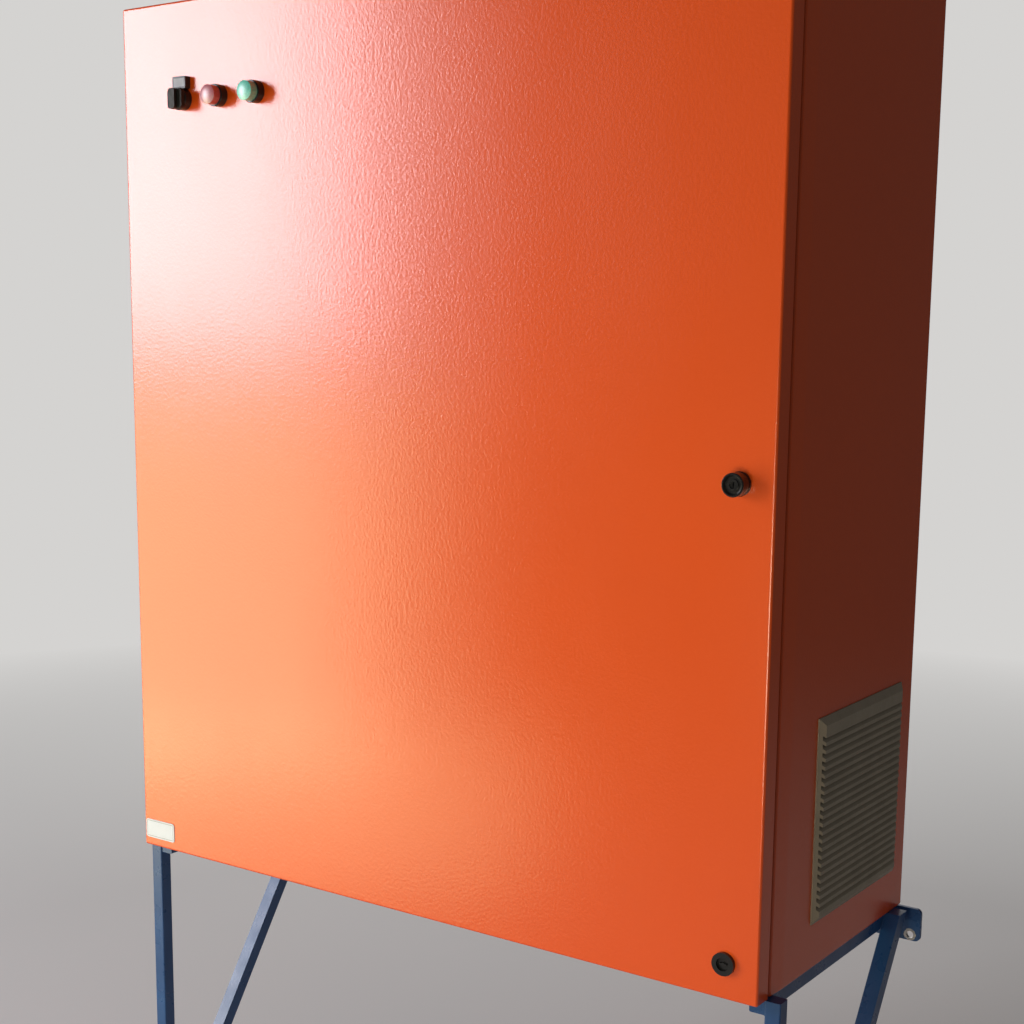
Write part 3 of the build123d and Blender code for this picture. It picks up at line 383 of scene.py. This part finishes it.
def white_label():
    """A bare white plate with a thin grey border inside its edge."""
    s = Shader("white_label", (0.56, 0.6, 0.68), 0.5)
    s.tint(s.span(s.noise(120, 3), 0.5, 0.8, 0, 0.35), (0.48, 0.51, 0.55))
    nearest = from_edge(s, *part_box("nameplate"))
    inside = s.maths("GREATER_THAN", nearest, NAMEPLATE_MARGIN)
    outside = s.maths("LESS_THAN", nearest, NAMEPLATE_MARGIN + NAMEPLATE_LINE)
    s.tint(s.maths("MULTIPLY", inside, outside), (0.2, 0.2, 0.2))
    s.bump(s.noise(800, 2), 0.05 * MM, 0.5)
    return s.material


def legend_plastic():
    """The dark legend block with a lighter insert in its front."""
    s = plastic("legend_grey", (0.016, 0.016, 0.018), 0.4)
    low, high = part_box("legend_block")
    inner = s.maths("GREATER_THAN", from_edge(s, low, high), LEGEND_MARGIN)
    front = s.maths("LESS_THAN", s.axis("Y"), low.y + LEGEND_FRONT)
    s.tint(s.maths("MULTIPLY", inner, front), (0.16, 0.165, 0.175))
    return s.material


MATERIALS = {
    "orange_paint": orange_paint(),
    "blue_paint": blue_paint(),
    "zinc_sheet": zinc_sheet(),
    "zinc_steel": zinc_steel(),
    "black_plastic": black_plastic(),
    "dark_plastic": plastic("dark_plastic", (0.03, 0.031, 0.034), 0.42).material,
    "light_plastic": plastic("light_plastic", (0.56, 0.56, 0.54), 0.42).material,
    "grille_plastic": grille_plastic(),
    "duct_plastic": plastic("duct_plastic", (0.34, 0.35, 0.36), 0.5).material,
    "beige_plastic": terminal_plastic(),
    "red_lens": lens("red_lens", (0.5, 0.012, 0.05), (0.24, 0.002, 0.02)),
    "green_lens": lens("green_lens", (0.01, 0.7, 0.54), (0.0, 0.34, 0.25)),
    "white_label": white_label(),
    "legend_grey": legend_plastic(),
    "brass": brass(),
    "insulator_red": plastic("insulator_red", (0.3, 0.04, 0.025), 0.35).material,
    "foam": foam(),
    "fibre": fibre(),
    "foot_rubber": plastic("foot_rubber", (0.02, 0.02, 0.02), 0.6).material,
}

OWN_MATERIALS = {
    "selector_knob": plastic("matte_black", (0.008, 0.007, 0.007), 0.62, 600, 0.1).material,
}

for row in frame["record"]["subparts"]:
    node = frame["nodes"][row["node"]]
    node.data.materials.clear()
    node.data.materials.append(OWN_MATERIALS.get(row["node"], MATERIALS[row["material_slot"]]))


# Weld beads of the stand

BEAD_RADIUS = 1.9 * MM
BEAD_PITCH = 2.4 * MM
LEAST_WAVES = 2
RINGS_A_WAVE = 5
BEAD_SIDES = 10

# Shares of the bead's radius: its core, its ripple, its ends and how far its rings lean
CORE = 0.9
RIPPLE = 0.13
TIP = 0.35
LEAN = 0.175

# Slow unevenness along a bead: share of the radius, angle a wave and first angle, in radians
UNEVEN = ((0.08, 2.3, 0), (0.05, 5.1, 1))

# How far a brace's beads on the leg lie from the sides of both
BRACE_SEAM = 0.6 * MM


def bead(line, vertices, faces):
    """Adds a rippled bead along a straight line to a mesh's lists."""
    start, end = Vector(line[0]), Vector(line[1])
    way = (end - start).normalized()
    across = way.orthogonal().normalized()
    beside = way.cross(across)
    waves = max(LEAST_WAVES, round((end - start).length / BEAD_PITCH))
    count = waves * RINGS_A_WAVE
    first = len(vertices)
    for i in range(count + 1):
        wave = i / RINGS_A_WAVE
        uneven = sum(share * math.sin(rate * wave + lead) for share, rate, lead in UNEVEN)
        radius = BEAD_RADIUS * (CORE + RIPPLE * abs(math.sin(math.pi * wave)) + uneven)
        radius *= min(1, TIP + min(wave, waves - wave))
        centre = start + way * (end - start).length * i / count
        for j in range(BEAD_SIDES):
            turn = 2 * math.pi * j / BEAD_SIDES
            lean = way * LEAN * BEAD_RADIUS * math.cos(turn) * math.sin(2 * math.pi * wave)
            out = across * math.cos(turn) + beside * math.sin(turn)
            vertices.append(centre + radius * out + lean)
    for i in range(count):
        for j in range(BEAD_SIDES):
            a = first + i * BEAD_SIDES + j
            b = first + i * BEAD_SIDES + (j + 1) % BEAD_SIDES
            faces.append((a, b, b + BEAD_SIDES, a + BEAD_SIDES))
    faces.append([first + j for j in reversed(range(BEAD_SIDES))])
    faces.append([first + count * BEAD_SIDES + j for j in range(BEAD_SIDES)])


def weld_lines(word, side):
    """The seams where rail, leg, brace and wall bar meet; side is -1 left and 1 right."""
    rail_low, rail_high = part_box("side_rail_" + word)
    leg_low, leg_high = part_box("front_leg_" + word)
    brace_low, brace_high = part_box("brace_" + word)
    outer = rail_high.x if side > 0 else rail_low.x
    inner = rail_low.x if side > 0 else rail_high.x
    edge = leg_high.x if side > 0 else leg_low.x
    low, high = rail_low.z, rail_high.z - BEAD_RADIUS
    tube = leg_high.y - leg_low.y
    slope = (brace_high.y - brace_low.y) / (brace_high.z - brace_low.z)
    drop = slope * (rail_high.z - rail_low.z)
    width = tube * math.hypot(1, slope)
    back, front = brace_high.y, brace_high.y - width
    foot, toe = brace_low.z + width / slope, brace_low.z
    inside, outside = edge - side * BRACE_SEAM, outer + side * BRACE_SEAM
    return [
        ((outer, rail_high.y, low), (outer, rail_high.y, high)),
        ((inner, rail_high.y, low), (inner, rail_high.y, high)),
        ((inner, rail_high.y, low), (outer, rail_high.y, low)),
        ((outer, leg_high.y, low), (outer, leg_high.y, high)),
        ((outer, rail_low.y, low), (outer, leg_high.y, low)),
        ((outer, front - drop, low), (outer, front, high)),
        ((outer, back - drop, low), (outer, back, high)),
        ((outer, front - drop, low), (outer, back - drop, low)),
        ((outer, leg_high.y, foot), (edge, leg_high.y, foot)),
        ((inside, leg_high.y, toe), (inside, leg_high.y, foot)),
        ((outside, leg_high.y, toe), (outside, leg_high.y, foot)),
    ]


def add_mesh(name, vertices, faces, material, body):
    """Makes a smooth piece from lists of points and faces, on a body."""
    mesh = bpy.data.meshes.new(name)
    mesh.from_pydata(vertices, [], faces)
    mesh.polygons.foreach_set("use_smooth", [True] * len(mesh.polygons))
    mesh.materials.append(material)
    obj = bpy.data.objects.new(name, mesh)
    bpy.context.scene.collection.objects.link(obj)
    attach(obj, body)


for word, side in (("left", -1), ("right", 1)):
    points, quads = [], []
    for line in weld_lines(word, side):
        bead(line, points, quads)
    add_mesh("weld_beads_" + word, points, quads, MATERIALS["blue_paint"], "cabinet")


# Floor, light and camera


def pale_floor():
    """A wide plain floor that fades into the surround with distance."""
    s = Shader("floor", (0.62, 0.61, 0.6), 0.8, specular=0.15)
    s.tint(s.span(s.noise(0.7, 2), 0.4, 0.7, 0, 0.3), (0.58, 0.57, 0.56))
    camera, mirrored = s.seen()
    glow = s.nodes.new("ShaderNodeEmission")
    glow.inputs["Color"].default_value = (*SURROUND, 1)
    s.links.new(s.fade(camera, s.glow(), BACKGROUND), glow.inputs["Strength"])
    mix = s.nodes.new("ShaderNodeMixShader")
    away = s.distance((0, 0, 0), (1, 1, 0))
    faded = s.maths("MULTIPLY", s.maths("MAXIMUM", camera, mirrored), s.span(away, *FADE))
    s.links.new(faded, mix.inputs["Fac"])
    s.links.new(s.main.outputs["BSDF"], mix.inputs[1])
    s.links.new(glow.outputs["Emission"], mix.inputs[2])
    s.links.new(mix.outputs["Shader"], s.nodes["Material Output"].inputs["Surface"])
    mesh = bpy.data.meshes.new("floor")
    square = ((-1, -1), (1, -1), (1, 1), (-1, 1))
    corners = [(x * FLOOR_REACH, y * FLOOR_REACH, FLOOR_Z) for x, y in square]
    mesh.from_pydata(corners, [], [(0, 1, 2, 3)])
    mesh.materials.append(s.material)
    floor = bpy.data.objects.new("floor", mesh)
    bpy.context.scene.collection.objects.link(floor)
    return floor


def lamp(name, place, target, size, power, colour=(1, 1, 1), spares=None):
    """A soft rectangular lamp that the camera doesn't see and that may spare the floor."""
    light = bpy.data.lights.new(name, "AREA")
    light.shape = "RECTANGLE"
    light.size, light.size_y = size
    light.energy = power
    light.color = colour
    obj = bpy.data.objects.new(name, light)
    obj.location = place
    obj.rotation_mode = "QUATERNION"
    obj.rotation_quaternion = (Vector(target) - Vector(place)).to_track_quat("-Z", "Y")
    obj.visible_camera = False
    bpy.context.scene.collection.objects.link(obj)
    if spares:
        unlit = bpy.data.collections.new(name + "_spares")
        unlit.objects.link(spares)
        obj.light_linking.receiver_collection = unlit
        unlit.collection_objects[0].light_linking.link_state = "EXCLUDE"


def world_light():
    """A dim surround, brighter on the lamps' side, and pale where it is looked at."""
    world = bpy.data.worlds.new("studio")
    world.use_nodes = True
    bpy.context.scene.world = world
    g = Graph(world.node_tree, "Generated")
    shade = g.nodes["Background"]
    shade.inputs["Color"].default_value = (*SURROUND, 1)
    camera, mirrored = g.seen()
    ambient = g.span(g.toward(LIT_WAY), *LIT_EDGE, AMBIENT_SHADE, AMBIENT_LIT)
    strength = g.fade(camera, g.fade(mirrored, ambient, g.glow()), BACKGROUND)
    g.links.new(strength, shade.inputs["Strength"])


def photo_camera():
    """The camera solved from the photograph, with its shift for the crop."""
    data = bpy.data.cameras.new("camera")
    data.lens = CAMERA_LENS
    data.sensor_width = SENSOR_WIDTH
    data.shift_x = (IMAGE_SIDE / 2 - AXIS_PIXEL[0]) / IMAGE_SIDE
    data.shift_y = (AXIS_PIXEL[1] - IMAGE_SIDE / 2) / IMAGE_SIDE
    camera = bpy.data.objects.new("camera", data)
    yaw, pitch = math.radians(CAMERA_YAW), math.radians(CAMERA_PITCH)
    level = math.cos(pitch)
    ahead = Vector((math.sin(yaw) * level, math.cos(yaw) * level, math.sin(pitch)))
    camera.location = CAMERA_PLACE
    camera.rotation_euler = ahead.to_track_quat("-Z", "Y").to_euler()
    camera.rotation_euler.rotate_axis("Z", math.radians(CAMERA_ROLL))
    bpy.context.scene.collection.objects.link(camera)
    bpy.context.scene.camera = camera


floor = pale_floor()

# A cool key high on the left, warm lamps below it as in the photograph's glare, and one behind
lamp(
    "key", place=(-2.35, -2.3, 1.36), target=(-1.05, -0.4, 1.1), size=(1.15, 1.34),
    power=62, colour=(0.96, 0.94, 1.0),
)
lamp(
    "low", place=(-2.1, -1.9, 0.1), target=(-0.7, -0.4, 0.1), size=(1.5, 1.1),
    power=26, colour=(1.0, 0.94, 0.58), spares=floor,
)
lamp(
    "sill", place=(-1.2, -1.45, -0.29), target=(-0.5, -0.4, 0), size=(1.2, 0.4),
    power=4.2, colour=(1.0, 0.9, 0.48), spares=floor,
)
lamp(
    "fill", place=(0.45, -2.4, 0.1), target=(0.1, -0.4, 0.2), size=(0.7, 0.6),
    power=19, colour=(1.0, 0.9, 0.66), spares=floor,
)
lamp("back", place=(-2.0, 2.8, 2.0), target=(0, 0, 0.4), size=(1.4, 1.4), power=48)

world_light()
photo_camera()
bpy.context.scene.view_settings.view_transform = "Standard"
